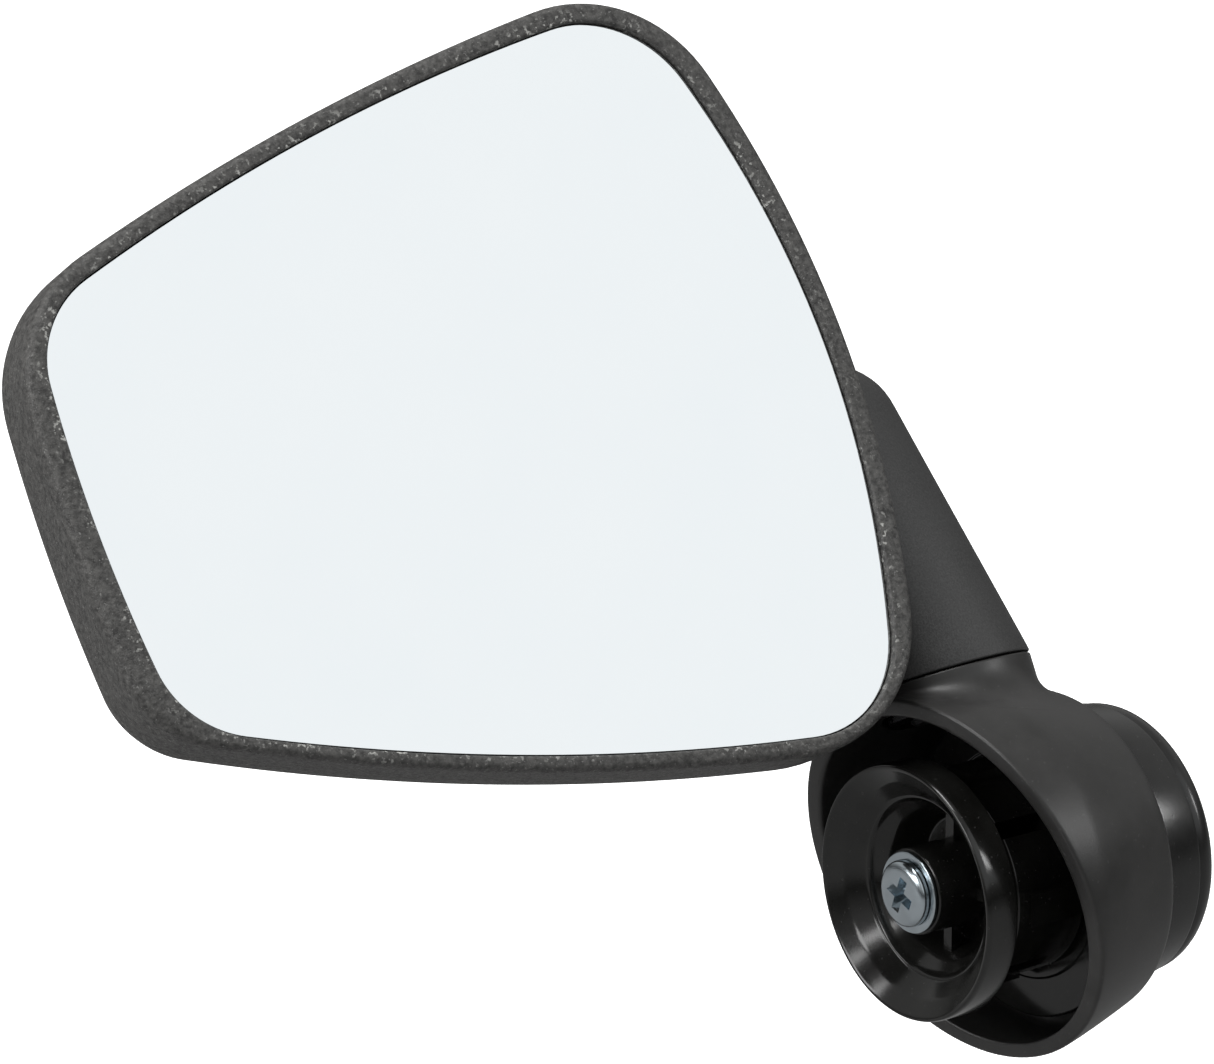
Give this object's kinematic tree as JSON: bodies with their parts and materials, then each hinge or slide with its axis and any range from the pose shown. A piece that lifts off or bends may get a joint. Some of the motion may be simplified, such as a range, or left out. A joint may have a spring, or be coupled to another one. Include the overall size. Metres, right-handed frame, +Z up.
{
  "type": "bar-end bicycle mirror",
  "caption": "Bicycle mirror for a handlebar end: convex glass in a rounded four-cornered housing, an arm that swivels on a drum-shaped hub, and an expanding plug for the bar's bore.",
  "frame": {"origin": "on the plug's axis, in the plane where the handlebar's end face seats on the plug's flange", "axes": "+X along the handlebar's axis and out of its end, so the plug reaches towards -X; +Z up; the glass faces -Y"},
  "size_m": [0.0778, 0.0484, 0.0755],
  "materials": {
    "gloss_black_plastic": "glossy black moulded plastic",
    "satin_black_plastic": "fine satin black moulded plastic",
    "knob_black_plastic": "semi-gloss black moulded plastic",
    "grained_black_plastic": "coarse speckled grain, charcoal black, with lighter flecks on the edges",
    "arm_black_plastic": "fine matt grain, charcoal black",
    "mirror_glass": "silvered, smooth, slightly convex",
    "foam_tape": "closed-cell double-sided foam tape",
    "zinc_plated_steel": "bright zinc plate",
    "spring_steel": "plain hardened steel, lightly oiled",
    "nylon": "natural nylon"
  },
  "bodies": {
    "plug": {"plug_body": "gloss_black_plastic", "expander_sleeve": "gloss_black_plastic"},
    "cup": {"expander_cup": "gloss_black_plastic", "clamp_screw": "zinc_plated_steel", "clamp_washer": "zinc_plated_steel"},
    "knob": {"clamp_knob": "knob_black_plastic", "knob_nut": "zinc_plated_steel"},
    "hub": {"hub_shell": "satin_black_plastic", "hub_friction_ring": "nylon", "hub_wave_washer": "spring_steel", "hub_thrust_washer": "spring_steel", "swivel_bush": "nylon"},
    "head": {"mirror_arm": "arm_black_plastic", "mirror_housing": "grained_black_plastic", "mirror_glass": "mirror_glass", "glass_foam_pad": "foam_tape", "housing_screw_1": "zinc_plated_steel", "housing_screw_2": "zinc_plated_steel", "housing_screw_3": "zinc_plated_steel", "swivel_pin": "spring_steel", "swivel_clip": "spring_steel", "swivel_wave_washer": "spring_steel", "swivel_washer": "spring_steel"}
  },
  "joints": [
    {"name": "hub_turn", "type": "hinge", "parent": "plug", "child": "hub", "pos_m": [0, 0, 0], "axis": [1, 0, 0], "continuous": true},
    {"name": "arm_swivel", "type": "hinge", "parent": "hub", "child": "head", "pos_m": [-0.00257, 0, 0], "axis": [0, 0.4695, 0.8829], "continuous": true},
    {"name": "knob_turn", "type": "hinge", "parent": "plug", "child": "knob", "pos_m": [0, 0, 0], "axis": [-1, 0, 0], "range_deg": [0, 1000]},
    {"name": "cup_draw", "type": "slide", "parent": "plug", "child": "cup", "axis": [1, 0, 0], "range_m": [0, 0.00125], "deforming": ["expander_sleeve"]}
  ],
  "couplings": [
    {"joint": "cup_draw", "follows": "knob_turn", "m_per_rad": 0.00007162}
  ]
}
